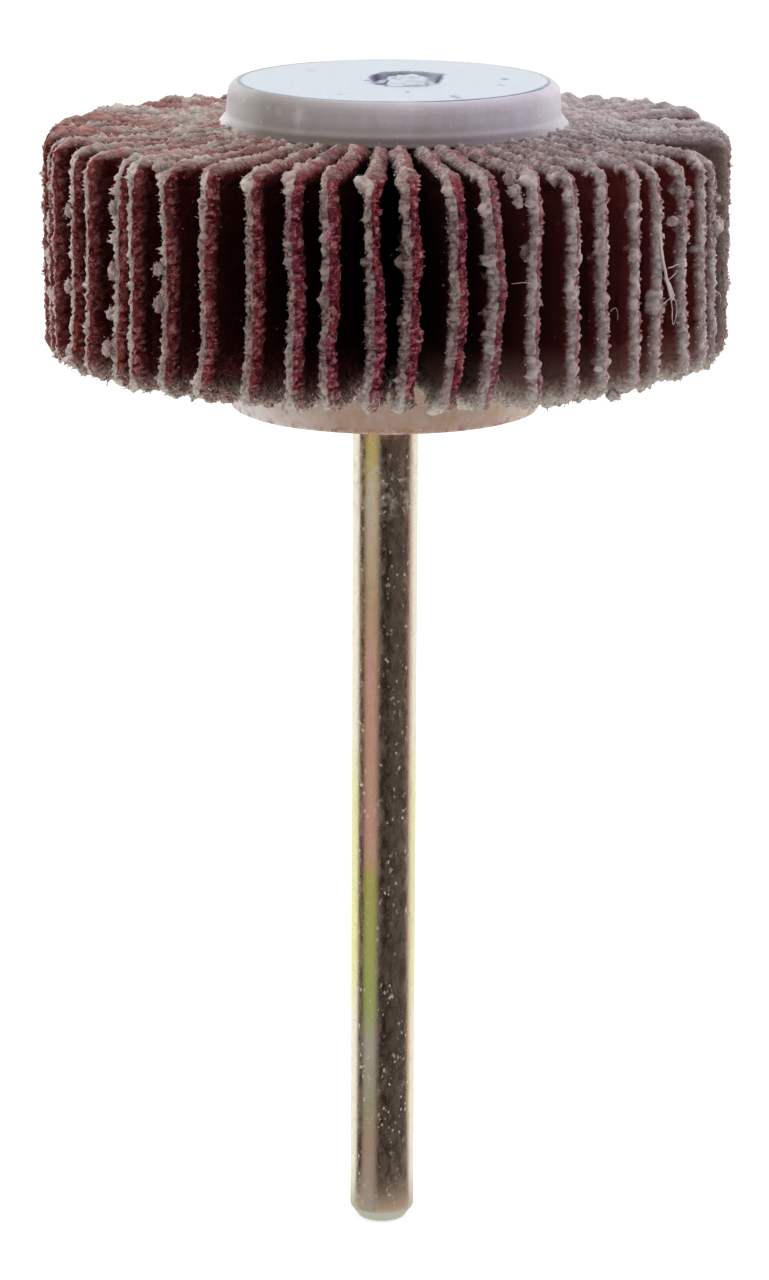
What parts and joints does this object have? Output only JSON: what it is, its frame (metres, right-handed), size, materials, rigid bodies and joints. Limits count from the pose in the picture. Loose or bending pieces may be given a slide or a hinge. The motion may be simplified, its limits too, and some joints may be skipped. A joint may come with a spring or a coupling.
{
  "type": "flap wheel",
  "caption": "Mounted flap wheel: radial abrasive cloth flaps moulded into a short hub on a plain steel shank, for sanding and polishing.",
  "frame": {"origin": "middle of the shank's free end, on the wheel's axis", "axes": "+Z along the axis from the shank's free end towards the wheel; -Y is the front of the wheel as pictured; +X to the right"},
  "size_m": [0.031, 0.031, 0.0542],
  "materials": {
    "shank": "zinc plated steel with a thin yellow passivation, glossy, scratched",
    "hub": "milky moulded resin, glossy flat top, satin sides",
    "abrasive_cloth": "cotton cloth with red-brown aluminium oxide grain on one face, edges frayed to grey and pink fluff"
  },
  "bodies": {
    "root": {"shank": "shank", "hub": "hub", "flap_01": "abrasive_cloth", "flap_02": "abrasive_cloth", "flap_03": "abrasive_cloth", "flap_04": "abrasive_cloth", "flap_05": "abrasive_cloth", "flap_06": "abrasive_cloth", "flap_07": "abrasive_cloth", "flap_08": "abrasive_cloth", "flap_09": "abrasive_cloth", "flap_10": "abrasive_cloth", "flap_11": "abrasive_cloth", "flap_12": "abrasive_cloth", "flap_13": "abrasive_cloth", "flap_14": "abrasive_cloth", "flap_15": "abrasive_cloth", "flap_16": "abrasive_cloth", "flap_17": "abrasive_cloth", "flap_18": "abrasive_cloth", "flap_19": "abrasive_cloth", "flap_20": "abrasive_cloth", "flap_21": "abrasive_cloth", "flap_22": "abrasive_cloth", "flap_23": "abrasive_cloth", "flap_24": "abrasive_cloth", "flap_25": "abrasive_cloth", "flap_26": "abrasive_cloth", "flap_27": "abrasive_cloth", "flap_28": "abrasive_cloth", "flap_29": "abrasive_cloth", "flap_30": "abrasive_cloth", "flap_31": "abrasive_cloth", "flap_32": "abrasive_cloth", "flap_33": "abrasive_cloth", "flap_34": "abrasive_cloth", "flap_35": "abrasive_cloth", "flap_36": "abrasive_cloth", "flap_37": "abrasive_cloth", "flap_38": "abrasive_cloth", "flap_39": "abrasive_cloth", "flap_40": "abrasive_cloth", "flap_41": "abrasive_cloth", "flap_42": "abrasive_cloth", "flap_43": "abrasive_cloth", "flap_44": "abrasive_cloth", "flap_45": "abrasive_cloth", "flap_46": "abrasive_cloth", "flap_47": "abrasive_cloth", "flap_48": "abrasive_cloth", "flap_49": "abrasive_cloth", "flap_50": "abrasive_cloth", "flap_51": "abrasive_cloth", "flap_52": "abrasive_cloth", "flap_53": "abrasive_cloth", "flap_54": "abrasive_cloth"}
  },
  "joints": []
}
